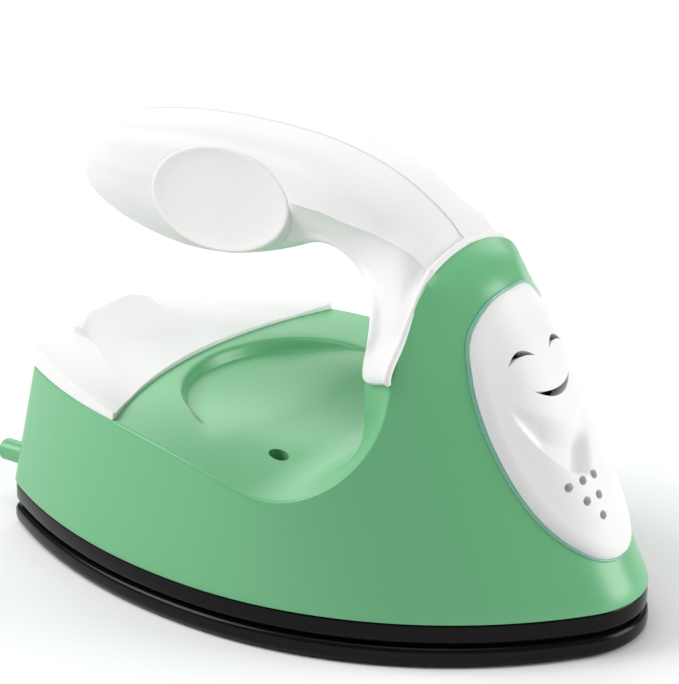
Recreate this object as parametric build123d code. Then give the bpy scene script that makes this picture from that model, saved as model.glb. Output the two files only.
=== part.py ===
from build123d import *
import math
import os

# Mini craft iron. Millimetres. The nose of the sole points along +X, +Z is up,
# and the origin is the middle of the sole's flat working face.

# Plan outline shared by the sole, the skirt and the housing
length = 105.0
width = 70.2
nose_radius = 14.0
front_side_radius = 66.0
rear_side_radius = 89.7
heel_corner_radius = 2.5

# Stack of the sole, from the working face up
sole_thickness = 3.4
sole_edge_round = 0.8
gasket_thickness = 0.7
gasket_inset = 1.6
gasket_width = 3.0
skirt_height = 3.2
skirt_inset = 0.2
skirt_rim = 2.4
skirt_floor = 1.2
skirt_ledge = 5.0
skirt_spigot_width = 1.2
skirt_spigot_height = 1.6

# Housing: draughted side walls, dome at the nose, open tray behind it
shell_wall = 1.8
draught_angle = 9.5
dome_height = 50.7
dome_front_angle = 62.6
collar_x = 21.6
collar_foot_height = 42.0
tray_height = 27.8
tray_flat_end_x = -27.0
tray_low_height = 23.3
column_back_x = 15.5
column_sweep_radius = 11.0
lip_front_x = 21.5
lip_sweep_radius = 15.0
lip_corner_inner_y = 13.0
lip_corner_mid_y = 18.3
lip_corner_outer_y = 21.0

# Round well sunk in the tray
well_centre_x = -7.4
well_radius = 21.2
well_front_reach = 14.0
well_rim_round = 1.0

# Shell screws, reached through two holes in the well
access_hole_x = -1.0
access_hole_y = 17.5
access_hole_diameter = 3.2
shell_boss_diameter = 6.4
shell_screw_diameter = 2.0
shell_screw_head_height = 1.4
shell_screw_floor = 2.0
skirt_post_diameter = 5.0
skirt_post_height = 6.0

# White cover over the heel, clipped into the tray
cover_wall = 1.6
cover_corner_x = -49.2
cover_corner_y = 17.4
cover_corner_height = 31.3
cover_tip_x = -24.0
cover_tip_y = 28.2
cover_tip_height = 28.8
cover_front_mid_x = -30.0
cover_basin_x = -44.0
cover_basin_height = 29.4
cover_basin_half_width = 9.3
cover_basin_fall = 0.06
hump_height = 2.1
hump_base_half_width = 8.8
hump_top_half_width = 2.3
hump_slope_length = 5.5
clip_x = (-44.0, -34.0)
clip_y = 13.0
clip_width = 4.0
clip_thickness = 1.2
clip_barb = 0.6
clip_barb_height = 1.6

# Handle: place along X, half width, top, widest height and underside of each station
handle_wall = 2.0
handle_squareness = 2.4
hood_squareness = 1.62
hood_wall = 2.2
handle_stations = (
    (-51.2, 2.4, 60.9, 58.6, 56.4),
    (-47.5, 6.6, 64.2, 58.4, 52.9),
    (-40.0, 9.3, 67.3, 58.3, 50.0),
    (-28.0, 10.8, 69.6, 58.2, 47.7),
    (-14.0, 10.9, 70.1, 58.9, 48.6),
    (0.0, 10.8, 68.8, 59.6, 49.5),
    (11.0, 10.7, 65.3, 57.5, 48.5),
    (16.5, 11.6, 61.9, 54.0, 45.0),
    (21.6, 20.4, 58.0, 42.0, 36.0),
)
neck_underside = ((-16.0, 45.0), (-10.0, 50.6), (-3.0, 53.8), (1.6, 55.2), (5.4, 54.8), (9.0, 53.2), (11.8, 51.4))
leg_back_x = 15.9
leg_shoulder_height = 45.4

# Legs of the hood: rise above the foot, half width at the arch and half width at the widest place of the plan
leg_levels = ((0.0, 20.6, 8.6), (4.0, 18.4, 9.9), (8.0, 15.9, 10.9), (11.0, 13.6, 9.4), (16.0, 12.4, 9.4))
collar_width = 1.0
collar_proud = 0.35
handle_boss_diameter = 5.6
handle_screw_diameter = 2.0
handle_screw_length = 12.0
handle_screw_spacing = 14.0
section_steps = 16

# Oval finger pads on both sides of the grip
pad_centre_x = -16.8
pad_centre_height = 59.2
pad_half_length = 12.8
pad_half_height = 8.2
pad_tilt = 6.0
pad_face_y = 10.7
pad_thickness = 1.4
pad_dish_depth = 0.7

# Face panel on the sloping front of the dome
panel_top_x = 29.2
panel_length = 43.4
panel_half_width = 13.1
panel_proud = 1.5
panel_seat = 0.9
panel_ledge = 1.2
trim_width = 0.6
trim_proud = 0.25
eye_spacing = 9.2
eye_half_width = 2.4
eye_drop = 11.3
eye_rise = 1.8
slot_width = 0.9
smile_half_width = 4.0
smile_drop = 15.0
smile_sag = 2.2
smile_lip = 0.9
scoop_half_width = 9.4
scoop_drop = 15.6
scoop_sag = 6.4
scoop_reach = 7.2
scoop_depth = 1.3
vent_hole_diameter = 1.4
vent_pitch = 3.25
vent_row_pitch = 3.1
vent_first_drop = 31.2
vent_rows = 3
baffle_margin = 1.0
baffle_thickness = 0.8

# Heel pegs
peg_diameter = 3.6
peg_reach = 6.0
peg_side_inset = 4.4
peg_height = 9.9
peg_root = 3.0
peg_flange_diameter = 5.0
peg_flange_thickness = 1.0

# Cord inlet bush in the heel wall
inlet_height = 19.0
inlet_bore_diameter = 4.4
inlet_bush_diameter = 7.0
inlet_flange_diameter = 8.6
inlet_flange_thickness = 1.0
inlet_bush_length = 7.0

# Screws of the sole
sole_screw_side_inset = 8.4
sole_screw_margin = 1.2
sole_boss_diameter = 6.0
sole_boss_clearance = 0.6
screw_diameter = 2.5
screw_head_diameter = 4.4
screw_head_height = 1.3
screw_tip_height = 1.2

# Heater stack on the sole
heater_centre_x = -4.0
heater_length = 54.0
heater_width = 28.0
heater_thickness = 2.4
heater_corner = 2.0
mica_margin = 0.5
mica_thickness = 0.4
clamp_thickness = 0.8
clamp_width = 10.0
clamp_foot = 7.0
clamp_gap = 0.8
shield_clearance = 1.0
shield_thickness = 0.6
shield_overhang = 4.0
shield_width = 27.0
spacer_diameter = 5.0
spacer_clear_x = 3.4
spacer_side_inset = 5.4
thermostat_inset = 11.0
thermostat_diameter = 11.0
thermostat_height = 3.0
thermostat_cap_diameter = 7.0
thermostat_cap_height = 1.0
cutoff_inset = 15.0
cutoff_diameter = 3.2
cutoff_length = 11.0
clip_strap = 0.6
clip_strap_width = 5.0
clip_strap_foot = 3.0
terminal_length = 6.4
terminal_width = 18.0
terminal_height = 6.0
terminal_inset = 12.0
terminal_bore = 2.4
terminal_pitch = 8.0

# Fits and the overrun of cutting tools
fit = 0.15
overrun = 20.0

# Derived places
half_length = length / 2
half_width = width / 2
skirt_base = sole_thickness + gasket_thickness
skirt_top = skirt_base + skirt_height
floor_top = skirt_base + skirt_floor
sole_screw_inset = gasket_inset + gasket_width + sole_boss_clearance + sole_boss_diameter / 2
screw_tab_diameter = screw_head_diameter + 2 * sole_screw_margin
nose_centre_x = half_length - nose_radius
wide_x = nose_centre_x - math.sqrt((front_side_radius - nose_radius) ** 2
                                   - (front_side_radius - half_width) ** 2)
heel_half_width = half_width - rear_side_radius + math.sqrt(
    rear_side_radius ** 2 - (half_length + wide_x) ** 2)
peg_y = heel_half_width - peg_side_inset
dome_top = skirt_top + dome_height
draught = math.tan(math.radians(draught_angle))
front_angle = math.radians(dome_front_angle)
front_run = 1 / math.tan(front_angle)
post_top = floor_top + skirt_post_height
clamp_top = sole_thickness + heater_thickness + mica_thickness + clamp_thickness
thermostat_top = clamp_top + thermostat_height + thermostat_cap_height
shield_base = thermostat_top + shield_clearance
shield_top = shield_base + shield_thickness
heater_front_x = heater_centre_x + heater_length / 2
heater_back_x = heater_centre_x - heater_length / 2
panel_plane = Plane(origin=(panel_top_x, 0, skirt_top + (half_length - panel_top_x) / front_run),
                    x_dir=(math.cos(front_angle), 0, -math.sin(front_angle)),
                    z_dir=(math.sin(front_angle), 0, math.cos(front_angle)))

# Dome slices: share of the height, share of the draughted half width, setback share of the length
dome_slice_shares = ((0.0, 1.0, 0.0), (0.684, 1.0, 0.0), (0.79, 0.99, 0.0), (0.86, 0.965, 0.0005),
                     (0.915, 0.935, 0.003), (0.955, 0.91, 0.012), (0.985, 0.90, 0.028), (1.0, 0.90, 0.05))

# Face panel outline: share of the length from the top, share of the half width
panel_outline_shares = ((0.0, 0.0), (0.03, 0.47), (0.10, 0.80), (0.25, 0.96), (0.41, 1.0), (0.59, 0.96),
                        (0.76, 0.82), (0.885, 0.60), (0.97, 0.31), (1.0, 0.0))

def round_point(centre_x, centre_y, radius, angle):
    return (centre_x + radius * math.cos(angle), centre_y + radius * math.sin(angle))


def mirrored(points):
    return [(x, -y) for x, y in points]


def front_arcs(inset, start_x):
    """Side arc and nose arc of the plan ahead of its widest place, which lies at start_x."""
    side_r = front_side_radius - inset
    nose_r = nose_radius - inset
    side_cy = half_width - front_side_radius
    nose_x = start_x + nose_centre_x - wide_x
    meet = math.atan2(-side_cy, nose_centre_x - wide_x)
    start = (start_x, half_width - inset)
    middle = round_point(start_x, side_cy, side_r, (math.pi / 2 + meet) / 2)
    end = round_point(nose_x, 0, nose_r, meet)
    far = ThreePointArc(start, middle, end)
    nose = ThreePointArc(end, (nose_x + nose_r, 0), (end[0], -end[1]))
    near = ThreePointArc((end[0], -end[1]), *mirrored([middle, start]))
    return [far, nose, near]


def rear_arcs(inset):
    """Near side, heel and far side of the plan behind its widest place."""
    side_r = rear_side_radius - inset
    side_cy = half_width - rear_side_radius
    heel_x = inset - half_length
    heel_y = side_cy + math.sqrt(side_r ** 2 - (heel_x - wide_x) ** 2)
    heel_angle = math.atan2(heel_y - side_cy, heel_x - wide_x)
    start = (wide_x, half_width - inset)
    middle = round_point(wide_x, side_cy, side_r, (math.pi / 2 + heel_angle) / 2)
    heel = (heel_x, heel_y)
    near = ThreePointArc(*mirrored([start, middle, heel]))
    back = Line((heel_x, -heel_y), heel)
    far = ThreePointArc(heel, middle, start)
    return [near, back, far]


def rounded_heel(face, inset):
    heel_x = inset - half_length
    corners = [v for v in face.vertices() if abs(v.X - heel_x) < heel_corner_radius / 4]
    return fillet(corners, heel_corner_radius)


def plan_face(inset):
    return rounded_heel(make_face(front_arcs(inset, wide_x) + rear_arcs(inset)), inset)


def rear_face(inset):
    closing = Line((wide_x, half_width - inset), (wide_x, inset - half_width))
    return rounded_heel(make_face(rear_arcs(inset) + [closing]), inset)


def front_face():
    """Front part of the plan with its widest place on the Y axis."""
    closing = Line((0, -half_width), (0, half_width))
    return make_face(front_arcs(0, 0) + [closing])


def plan_plate(inset, bottom, height):
    return Pos(0, 0, bottom) * extrude(plan_face(inset), height)


def plan_ring(inset, ring_width, bottom, height):
    return plan_plate(inset, bottom, height) - plan_plate(inset + ring_width, bottom, height)


def wall_inset(z):
    return draught * (z - skirt_top)


def rear_block(shrink, bottom, top):
    low = Pos(0, 0, bottom) * rear_face(shrink + wall_inset(bottom))
    high = Pos(0, 0, top) * rear_face(shrink + wall_inset(top))
    return loft([low, high], ruled=True)


def dome_block(shrink):
    """Dome ahead of the widest place: the plan shrinks towards the ridge as it rises."""
    slices = []
    unit = front_face()
    for height_share, width_share, setback_share in dome_slice_shares:
        rise = height_share * dome_height
        reach = half_length - front_run * rise - setback_share * length - shrink - wide_x
        side = (half_width - wall_inset(skirt_top + rise)) * width_share - shrink
        scaled = scale(unit, by=(reach / (half_length - wide_x), side / half_width, 1))
        lowered = shrink * height_share
        slices.append(Pos(wide_x, 0, skirt_top + rise - lowered) * scaled)
    return loft(slices, ruled=True)


def side_cutter(face, depth):
    """Extrude a face drawn in X and Z symmetrically across the iron."""
    return extrude(Plane.XZ * face, depth, both=True)


def tray_profile(front_x, sweep_radius, grow):
    """Space above the tray in side view: flat, long fall, then a sweep up the column."""
    low = tray_low_height - grow
    sweep = sweep_radius + grow
    centre_x = front_x - sweep_radius
    centre_z = low + sweep
    flat_z = tray_height - grow
    run = centre_x - tray_flat_end_x
    over = centre_z - flat_z
    fall_radius = (run ** 2 + over ** 2 - sweep ** 2) / (2 * (sweep - over))
    meet = fall_radius / (fall_radius + sweep)
    meet_x = tray_flat_end_x + run * meet
    meet_z = (flat_z - fall_radius) + (over + fall_radius) * meet
    fall_angle = math.asin((meet_x - tray_flat_end_x) / fall_radius)
    fall_mid = (tray_flat_end_x + fall_radius * math.sin(fall_angle / 2),
                flat_z - fall_radius + fall_radius * math.cos(fall_angle / 2))
    sweep_mid = (centre_x + sweep * math.sin(math.pi / 4 - fall_angle / 2),
                 centre_z - sweep * math.cos(math.pi / 4 - fall_angle / 2))
    top = dome_top + overrun
    back = -half_length - overrun
    return make_face([
        Line((back, flat_z), (tray_flat_end_x, flat_z)),
        ThreePointArc((tray_flat_end_x, flat_z), fall_mid, (meet_x, meet_z)),
        ThreePointArc((meet_x, meet_z), sweep_mid, (centre_x + sweep, centre_z)),
        Line((centre_x + sweep, centre_z), (centre_x + sweep, top)),
        Line((centre_x + sweep, top), (back, top)),
        Line((back, top), (back, flat_z)),
    ])


def tray_space(grow):
    """Everything above the tray, with the corners of the column swept forward."""
    middle = side_cutter(tray_profile(column_back_x, column_sweep_radius, grow), width)
    sides = side_cutter(tray_profile(lip_front_x, lip_sweep_radius, grow), width)
    start_x = column_back_x - column_sweep_radius
    corner = [(start_x, lip_corner_inner_y - grow), (column_back_x, lip_corner_mid_y - grow),
              (lip_front_x + grow, lip_corner_outer_y - grow), (lip_front_x + overrun, lip_corner_outer_y),
              (lip_front_x + overrun, width), (start_x, width)]
    wedges = Sketch()
    for outline in (corner, mirrored(corner)):
        wedges += make_face(Polyline(*outline, close=True))
    return middle + (sides & extrude(wedges, dome_top + overrun))


def well_space(grow):
    """Round well behind, easing into the tray's own slope in front."""
    rear_r = well_radius + grow
    front_r = well_front_reach + grow
    back = ThreePointArc((well_centre_x, rear_r), (well_centre_x - rear_r, 0), (well_centre_x, -rear_r))
    ahead = EllipticalCenterArc((well_centre_x, 0), front_r, rear_r, start_angle=-90, arc_size=180)
    face = make_face([back, ahead])
    return Pos(0, 0, tray_low_height - grow) * extrude(face, overrun)


def cylinder(radius, length_mm, x, y, z):
    """Upright cylinder standing at x, y, z."""
    return Pos(x, y, z) * extrude(Circle(radius), length_mm)


def slab(low_x, high_x, low_z, high_z):
    """Block across the whole width between two places along X and two heights."""
    size_x = high_x - low_x
    size_z = high_z - low_z
    return Pos(low_x + size_x / 2, 0, low_z + size_z / 2) * Box(size_x, width + overrun, size_z)


def hood_zone():
    return slab(-half_length, collar_x, collar_foot_height, dome_top + overrun)


def outer_body():
    """Housing without its hollow, with the column still whole under the handle."""
    block = rear_block(0, skirt_top, tray_height) + dome_block(0)
    return block - tray_space(0) - well_space(0)


def keep_inside(shape, zone, limit):
    """Trim a shape to a limit inside the zone and leave it alone outside."""
    return (shape - zone) + (shape & zone & limit)


def screw_spots():
    nose = (half_length - sole_screw_inset, 0)
    heel_x = sole_screw_inset - half_length
    heel_y = heel_half_width - sole_screw_side_inset
    return [nose, (heel_x, heel_y), (heel_x, -heel_y)]


def access_spots():
    return [(access_hole_x, access_hole_y), (access_hole_x, -access_hole_y)]


def spacer_spots():
    reach = heater_length / 2 + spacer_clear_x
    side = heater_width / 2 - spacer_side_inset
    return [(heater_centre_x + a * reach, b * side) for a in (-1, 1) for b in (-1, 1)]


def clamp_spots():
    reach = heater_length / 2 + clamp_gap + clamp_thickness + clamp_foot / 2
    return [(heater_centre_x - reach, 0), (heater_centre_x + reach, 0)]


def soleplate():
    plate = plan_plate(0, 0, sole_thickness)
    plate = fillet(plate.edges().group_by(Axis.Z)[0], sole_edge_round)
    for x, y in screw_spots():
        plate += cylinder(sole_boss_diameter / 2, gasket_thickness, x, y, sole_thickness)
    for x, y in screw_spots() + clamp_spots() + spacer_spots():
        plate -= cylinder(screw_diameter / 2, overrun, x, y, screw_tip_height)
    return plate


def sole_gasket():
    return plan_ring(gasket_inset, gasket_width, sole_thickness, gasket_thickness)


def base_skirt():
    ring = plan_ring(skirt_inset, skirt_rim, skirt_base, skirt_height)
    ring += plan_ring(skirt_inset, skirt_ledge, skirt_base, skirt_floor)
    spigot_inset = shell_wall + front_run * skirt_spigot_height + 2 * fit
    ring += plan_ring(spigot_inset, skirt_spigot_width, floor_top,
                      skirt_top + skirt_spigot_height - floor_top)
    for side in (-1, 1):
        notch = Box(overrun, peg_flange_diameter + 2 * fit, skirt_spigot_height + fit,
                    align=(Align.CENTER, Align.CENTER, Align.MIN))
        ring -= Pos(-half_length, side * peg_y, skirt_top) * notch
    plate = plan_plate(skirt_inset, skirt_base, skirt_floor)
    for x, y in screw_spots():
        outward = math.copysign(sole_screw_inset / 2, x)
        arm = Pos(x + outward, y, skirt_base + skirt_floor / 2) * Box(
            sole_screw_inset, screw_tab_diameter, skirt_floor)
        ring += (arm + cylinder(screw_tab_diameter / 2, skirt_floor, x, y, skirt_base)) & plate
    bridge = half_width - skirt_rim - access_hole_y
    for x, y in access_spots():
        side = math.copysign(1, y)
        ring += Pos(x, y + side * bridge / 2, skirt_base + skirt_floor / 2) * Box(
            skirt_post_diameter, bridge, skirt_floor)
        ring += cylinder(skirt_post_diameter / 2, post_top - skirt_base, x, y, skirt_base)
        ring -= cylinder(shell_screw_diameter / 2, overrun, x, y, skirt_base)
    for x, y in screw_spots():
        ring -= cylinder(screw_diameter / 2 + fit, skirt_floor, x, y, skirt_base)
    return ring


def deck_slots(grow):
    """Slots in the tray for the clips of the heel cover."""
    slots = Part()
    for x in clip_x:
        for side in (-1, 1):
            slots += Pos(x, side * clip_y, tray_height) * Box(
                clip_thickness + clip_barb + 2 * grow, clip_width + 2 * grow, overrun / 2)
    return slots


def body_shell():
    shell = outer_body()
    shell = keep_inside(shell, hood_zone(), hood_cavity(fit))
    hollow = rear_block(shell_wall, skirt_top, tray_height - shell_wall) + dome_block(shell_wall)
    hollow = hollow - tray_space(shell_wall) - well_space(shell_wall)
    inner_zone = slab(-half_length, collar_x + shell_wall, collar_foot_height - shell_wall,
                      dome_top + overrun)
    hollow = keep_inside(hollow, inner_zone, hood_cavity(fit + shell_wall))
    bosses = Part()
    for x, y in access_spots():
        bosses += cylinder(shell_boss_diameter / 2, tray_low_height - shell_wall / 2 - post_top,
                           x, y, post_top)
    shell = shell - hollow + bosses
    for x, y in access_spots():
        seat = post_top + shell_screw_floor
        shell -= cylinder(access_hole_diameter / 2, overrun, x, y, seat)
        shell -= cylinder(shell_screw_diameter / 2 + fit, overrun, x, y, post_top - fit)
    shell -= panel_prism(-panel_ledge, overrun / 2)
    shell -= panel_prism(trim_width + fit, overrun / 2) - dome_block(panel_seat)
    shell -= deck_slots(fit)
    shell -= inlet_rod(inlet_bush_diameter + 2 * fit, inlet_bush_length + fit)
    for side in (-1, 1):
        shell -= peg_rod(side, peg_diameter + 2 * fit, overrun)
    return shell


def heel_wall_x(z):
    return wall_inset(z) - half_length


def inlet_rod(diameter, reach):
    """Rod along X through the heel wall at the cord inlet, from just outside it inwards."""
    start = heel_wall_x(inlet_height - inlet_flange_diameter / 2) - inlet_flange_thickness
    return Pos(start, 0, inlet_height) * Rot(0, 90, 0) * extrude(Circle(diameter / 2), reach)


def cord_inlet_bush():
    tube = inlet_rod(inlet_bush_diameter, inlet_bush_length)
    lip = inlet_rod(inlet_flange_diameter, inlet_bush_length)
    lip -= rear_block(-fit, skirt_top, tray_height)
    return tube + lip - inlet_rod(inlet_bore_diameter, overrun)


def under_plane(shape, point, slope_x, slope_y):
    """Part of a shape below the plane through a point with the given rises along X and Y."""
    plane = Plane(origin=point, z_dir=(-slope_x, -slope_y, 1))
    return split(shape, bisect_by=plane, keep=Keep.BOTTOM)


def cover_block(shrink, drop):
    """Heel cover: low basin in the middle, flanks that rise to the heel corners, and the hump."""
    top = cover_corner_height + hump_height
    block = rear_block(shrink, tray_height, top)
    sagitta = cover_tip_x - cover_front_mid_x
    front_radius = (cover_tip_y ** 2 + sagitta ** 2) / (2 * sagitta)
    front = cylinder(front_radius + shrink, overrun, cover_front_mid_x + front_radius, 0,
                     tray_height - fit)
    ahead = slab(cover_tip_x, half_length, tray_height - fit, top + fit)
    block = block - front - ahead
    basin = under_plane(block, (cover_basin_x, 0, cover_basin_height - drop), -cover_basin_fall, 0)
    rise = flank_rises()
    cover = basin
    for side in (-1, 1):
        half = block & Pos(0, side * width / 2, 0) * Box(2 * length, width, 2 * length)
        corner = (cover_corner_x, side * cover_corner_y, cover_corner_height - drop)
        cover += under_plane(half, corner, rise[0], side * rise[1])
    hump_outline = [(-hump_base_half_width + shrink, tray_height),
                    (-hump_base_half_width + shrink, cover_corner_height - drop),
                    (-hump_top_half_width, top - drop), (hump_top_half_width, top - drop),
                    (hump_base_half_width - shrink, cover_corner_height - drop),
                    (hump_base_half_width - shrink, tray_height)]
    hump = extrude(Plane.YZ * make_face(Polyline(*hump_outline, close=True)), -length) & block
    slope = (cover_basin_height - top) / hump_slope_length
    return cover + under_plane(hump, (cover_basin_x, 0, cover_basin_height - drop), slope, 0)


def flank_rises():
    """Rises along X and Y of the plane through the heel corner, the front tip and the basin."""
    ax, ay, az = cover_corner_x, cover_corner_y, cover_corner_height
    bx, by, bz = cover_tip_x - ax, cover_tip_y - ay, cover_tip_height - az
    cx, cy, cz = cover_basin_x - ax, cover_basin_half_width - ay, cover_basin_height - az
    turn = bx * cy - by * cx
    return ((bz * cy - by * cz) / turn, (bx * cz - bz * cx) / turn)


def rear_cover():
    cover = cover_block(0, 0) - cover_block(cover_wall, cover_wall)
    reach = shell_wall + clip_barb_height
    half = (clip_thickness + clip_barb) / 2
    hook = [(-half, 0), (-half, -reach), (half - clip_barb, -reach), (half, -shell_wall - fit),
            (half - clip_barb, -shell_wall - fit), (half - clip_barb, 0)]
    hook_face = make_face(Polyline(*hook, close=True))
    for x in clip_x:
        for side in (-1, 1):
            clip = extrude(Plane.XZ * hook_face, clip_width / 2, both=True)
            cover += Pos(x, side * clip_y, tray_height) * clip
            cover += Pos(x - clip_barb / 2, side * clip_y, tray_height + cover_wall / 4) * Box(
                clip_thickness, clip_width, cover_wall / 2)
    return cover


def section(station, shrink):
    """Closed section of the grip: a squarish oval with its own rise above and below."""
    x, half, top, middle, bottom = station
    blend = (x - handle_stations[0][0]) / (handle_stations[-1][0] - handle_stations[0][0])
    power = 2 / (handle_squareness + (hood_squareness - handle_squareness) * blend ** 4)
    points = []
    for step in range(section_steps):
        angle = 2 * math.pi * (step + 0.5) / section_steps
        across = math.copysign(abs(math.cos(angle)) ** power, math.cos(angle))
        rise = math.copysign(abs(math.sin(angle)) ** power, math.sin(angle))
        height = (top - middle if rise > 0 else middle - bottom) - shrink
        points.append((x, across * (half - shrink), middle + rise * height))
    return make_face(Spline(*points, periodic=True))


def grip_block(shrink):
    stations = handle_stations if shrink == 0 else handle_stations[1:]
    return loft([section(station, shrink) for station in stations])


def underside_space():
    """Finger space below the grip and behind the legs, across the whole width."""
    low = collar_foot_height - overrun
    first = neck_underside[0]
    last = neck_underside[-1]
    neck = Spline(*neck_underside)
    corner = ThreePointArc(last, (leg_back_x - (leg_back_x - last[0]) / 5,
                                  last[1] - (last[1] - leg_shoulder_height) / 4),
                           (leg_back_x, leg_shoulder_height))
    face = make_face([neck, corner, Line((leg_back_x, leg_shoulder_height), (leg_back_x, low)),
                      Line((leg_back_x, low), (first[0], low)), Line((first[0], low), first)])
    return side_cutter(face, width)


def leg_block(inset):
    """Both legs as one tapering block; its side faces turn inwards behind the arch."""
    levels = []
    for rise, arch_half, wide_half in leg_levels:
        front = arch_half - inset
        back = wide_half - inset
        outline = [(wide_x, back), (collar_x, front), (collar_x, -front), (wide_x, -back)]
        levels.append(Pos(0, 0, collar_foot_height + rise) * make_face(Polyline(*outline, close=True)))
    return loft(levels, ruled=True)


def hood_cavity(clearance):
    """Space inside the hood that holds the top of the column."""
    wall = hood_wall + clearance
    zone = slab(leg_back_x + wall, collar_x, collar_foot_height, dome_top)
    return dome_block(wall) & leg_block(wall) & zone


def handle_block():
    zone = slab(-half_length, collar_x - collar_width, collar_foot_height, dome_top + 2 * overrun)
    solid = (grip_block(0) + (outer_body() & leg_block(0))) & zone
    return solid - underside_space() - hood_cavity(0)


def handle_hollow():
    front = neck_underside[0][0] - handle_wall
    return grip_block(handle_wall) & slab(-half_length, front, 0, dome_top + 2 * overrun)


def pad_plane(side):
    tilt = math.radians(pad_tilt)
    return Plane(origin=(pad_centre_x, side * pad_face_y, pad_centre_height), x_dir=(1, 0, 0),
                 z_dir=(0, side * math.cos(tilt), math.sin(tilt)))


def pad_oval(side, grow, depth, proud):
    oval = pad_plane(side) * Ellipse(pad_half_length + grow, pad_half_height + grow)
    return extrude(oval, -depth) + extrude(oval, proud)


def grip_pad(side):
    pad = pad_oval(side, 0, pad_thickness, fit)
    dish_radius = (pad_half_length ** 2 + pad_dish_depth ** 2) / (2 * pad_dish_depth)
    squash = pad_half_height / pad_half_length
    ball = scale(Sphere(dish_radius), by=(1, squash, 1))
    dish = pad_plane(side) * Pos(0, 0, dish_radius + fit - pad_dish_depth) * ball
    return pad - dish


def handle_screw_spots():
    return [pad_centre_x - handle_screw_spacing / 2, pad_centre_x + handle_screw_spacing / 2]


def across_rod(x, z, radius, low_y, high_y):
    """Rod along Y between two places."""
    return Pos(x, high_y, z) * Rot(90, 0, 0) * extrude(Circle(radius), high_y - low_y)


def handle_half(side):
    keep = Pos(0, side * width / 2, dome_top) * Box(2 * length, width, 2 * length)
    half = (handle_block() - handle_hollow()) & keep
    pocket = pad_face_y - pad_thickness
    for x in handle_screw_spots():
        low, high = sorted((0, side * (pocket - fit)))
        half += across_rod(x, pad_centre_height, handle_boss_diameter / 2, low, high)
    half -= pad_oval(side, fit, pad_thickness + fit, overrun)
    for x in handle_screw_spots():
        half -= across_rod(x, pad_centre_height, handle_screw_diameter / 2 + (fit if side < 0 else 0),
                           -overrun, handle_screw_length / 2)
        if side < 0:
            half -= across_rod(x, pad_centre_height, screw_head_diameter / 2 + fit, -overrun,
                               -handle_screw_length / 2)
    return half


def handle_screws():
    screws = Part()
    seat = -handle_screw_length / 2
    for x in handle_screw_spots():
        screws += across_rod(x, pad_centre_height, handle_screw_diameter / 2, seat, -seat)
        screws += across_rod(x, pad_centre_height, screw_head_diameter / 2, seat - screw_head_height, seat)
    return screws


def handle_collar():
    zone = slab(collar_x - collar_width, collar_x, collar_foot_height, dome_top + overrun)
    return (dome_block(-collar_proud) - dome_block(hood_wall)) & zone


def panel_prism(grow, reach):
    """Panel outline, grown all round, swept both ways along the panel's normal."""
    def point(share, across):
        return (share * (panel_length + 2 * grow) - grow, across * (panel_half_width + grow))
    one_side = [point(*pair) for pair in panel_outline_shares]
    other_side = [(u, -y) for u, y in reversed(one_side[1:-1])]
    outline = make_face(Spline(*(one_side + other_side), periodic=True))
    return extrude(panel_plane * outline, reach, both=True)


def arched_slot(centre_y, half, drop, rise, thickness):
    """Slot that arches towards the top of the panel, or sags for a negative rise."""
    outer = ThreePointArc((drop, centre_y - half), (drop - rise, centre_y), (drop, centre_y + half))
    inner = ThreePointArc((drop, centre_y + half), (drop - rise + thickness, centre_y),
                          (drop, centre_y - half))
    return extrude(panel_plane * make_face([outer, inner]), overrun / 2, both=True)


def vent_holes():
    holes = Part()
    for row in range(vent_rows):
        count = vent_rows - row
        for place in range(count):
            y = (place - (count - 1) / 2) * vent_pitch
            spot = Circle(vent_hole_diameter / 2)
            holes += extrude(panel_plane * Pos(vent_first_drop + row * vent_row_pitch, y, 0) * spot,
                             overrun / 2, both=True)
    return holes


def front_panel():
    panel = panel_prism(0, overrun / 2) & (dome_block(-panel_proud) - dome_block(panel_seat))
    for side in (-1, 1):
        panel -= arched_slot(side * eye_spacing / 2, eye_half_width, eye_drop, eye_rise, slot_width)
    panel -= arched_slot(0, smile_half_width, smile_drop, -smile_sag, -smile_lip)
    scoop = arched_slot(0, scoop_half_width, scoop_drop, -scoop_sag, scoop_reach)
    return panel - vent_holes() - (scoop - dome_block(scoop_depth - panel_proud))


def panel_trim_ring():
    ring = panel_prism(trim_width, overrun / 2) - panel_prism(fit, overrun / 2)
    return ring & (dome_block(-trim_proud) - dome_block(panel_seat))


def vent_baffle():
    plate = panel_prism(baffle_margin - panel_ledge, overrun / 2)
    depth = shell_wall + fit
    return plate & (dome_block(depth) - dome_block(depth + baffle_thickness))


def peg_rod(side, diameter, reach):
    start = heel_wall_x(peg_height) + peg_root
    return Pos(start - reach, side * peg_y, peg_height) * Rot(0, 90, 0) * extrude(
        Circle(diameter / 2), reach)


def heel_foot(side):
    start = heel_wall_x(peg_height) + peg_root
    rod = peg_rod(side, peg_diameter, peg_root + peg_reach)
    rod = chamfer(rod.edges().group_by(Axis.X)[0], peg_diameter / 8)
    inner = heel_wall_x(peg_height + peg_flange_diameter / 2) + shell_wall + fit
    flange = Pos(inner, side * peg_y, peg_height) * Rot(0, 90, 0) * extrude(
        Circle(peg_flange_diameter / 2), peg_flange_thickness)
    return rod + flange


def headed_screw(x, y, seat, tip, shank, head, head_height):
    return cylinder(shank, seat - tip, x, y, tip) + cylinder(head, head_height, x, y, seat)


def sole_screws():
    return screw_group(screw_spots(), floor_top)


def clamp_screws():
    return screw_group(clamp_spots(), sole_thickness + clamp_thickness)


def shield_screws():
    return screw_group(spacer_spots(), shield_top)


def screw_group(spots, seat):
    group = Part()
    for x, y in spots:
        group += headed_screw(x, y, seat, screw_tip_height, screw_diameter / 2,
                              screw_head_diameter / 2, screw_head_height)
    return group


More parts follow.
